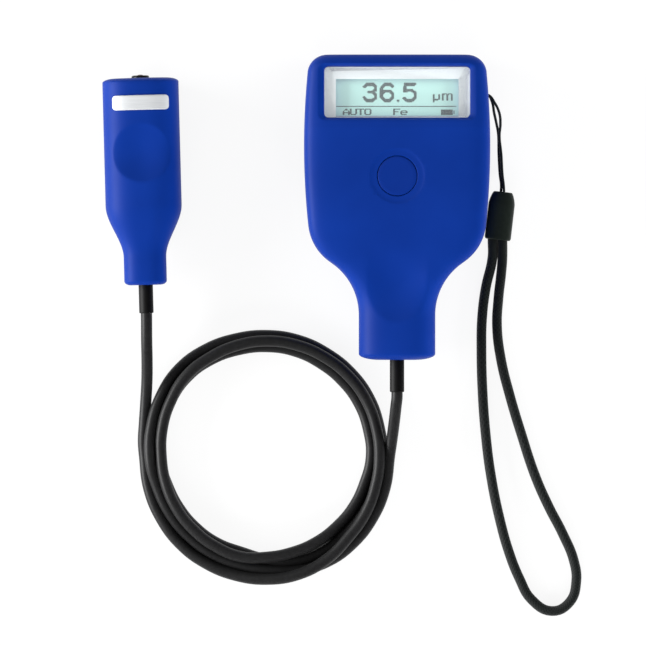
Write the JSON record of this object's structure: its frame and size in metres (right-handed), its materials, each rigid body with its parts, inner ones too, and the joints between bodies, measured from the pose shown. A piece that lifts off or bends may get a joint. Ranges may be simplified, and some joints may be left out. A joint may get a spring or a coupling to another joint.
{
  "type": "coating thickness gauge",
  "caption": "Handheld coating thickness gauge with a tilted display and push button, a corded probe with a sprung measuring tip, a coiled cable and a wrist strap.",
  "frame": {"origin": "middle of the gauge's flat back, which lies on the table", "axes": "+X to the right and +Y to the top edge as the display is read, +Z out of the display"},
  "size_m": [0.1599, 0.1872, 0.028],
  "materials": {
    "housing_blue": "moulded, satin",
    "button_blue": "moulded, satin",
    "clear_window": "clear acrylic",
    "bezel_grey": "printed film",
    "lcd": "lit display cell",
    "white_plastic": "moulded",
    "board_green": "solder mask",
    "chip_black": "moulded",
    "cell_wrap": "printed wrap",
    "steel": "plated",
    "rubber_black": "moulded",
    "tip_black": "turned",
    "ruby": "polished",
    "copper": "enamelled wire",
    "label_white": "bare plate",
    "cable_black": "extruded, satin",
    "strap_fabric": "braided cord"
  },
  "bodies": {
    "gauge": {"front_cover": "housing_blue", "rear_cover": "housing_blue", "display_window": "clear_window", "display_bezel": "bezel_grey", "lcd_glass": "lcd", "lcd_holder": "white_plastic", "main_board": "board_green", "board_chips": "chip_black", "probe_connector": "white_plastic", "tact_switch": "chip_black", "battery_left": "cell_wrap", "battery_right": "cell_wrap", "battery_springs": "steel", "battery_plates": "steel", "housing_screws": "steel", "gauge_cable_sleeve": "rubber_black", "probe_front_shell": "housing_blue", "probe_rear_shell": "housing_blue", "tip_guide": "tip_black", "probe_spring": "steel", "sensor_board": "board_green", "probe_screws": "steel", "probe_label": "label_white", "probe_cable_sleeve": "rubber_black", "probe_cable_lead": "cable_black", "cable_coil": "cable_black", "gauge_cable_lead": "cable_black", "strap_thin_loop": "strap_fabric", "strap_bead": "rubber_black", "strap_wrist_loop": "strap_fabric"},
    "power_button": {"power_button": "button_blue", "switch_plunger": "chip_black"},
    "battery_cover": {"battery_cover": "housing_blue"},
    "probe_tip": {"probe_plunger": "tip_black", "wear_tip": "ruby", "sensor_core": "steel", "sensor_coil": "copper"}
  },
  "joints": [
    {"name": "button_press", "type": "slide", "parent": "gauge", "child": "power_button", "axis": [0, 0, -1], "range_m": [0, 0.0007], "stiffness_N_per_m": 800},
    {"name": "battery_cover_slide", "type": "slide", "parent": "gauge", "child": "battery_cover", "axis": [0, 1, 0], "range_m": [0, 0.06]},
    {"name": "tip_press", "type": "slide", "parent": "gauge", "child": "probe_tip", "axis": [0.0262, -0.9997, 0], "range_m": [0, 0.0009], "stiffness_N_per_m": 600, "deforming": ["probe_spring"]}
  ]
}
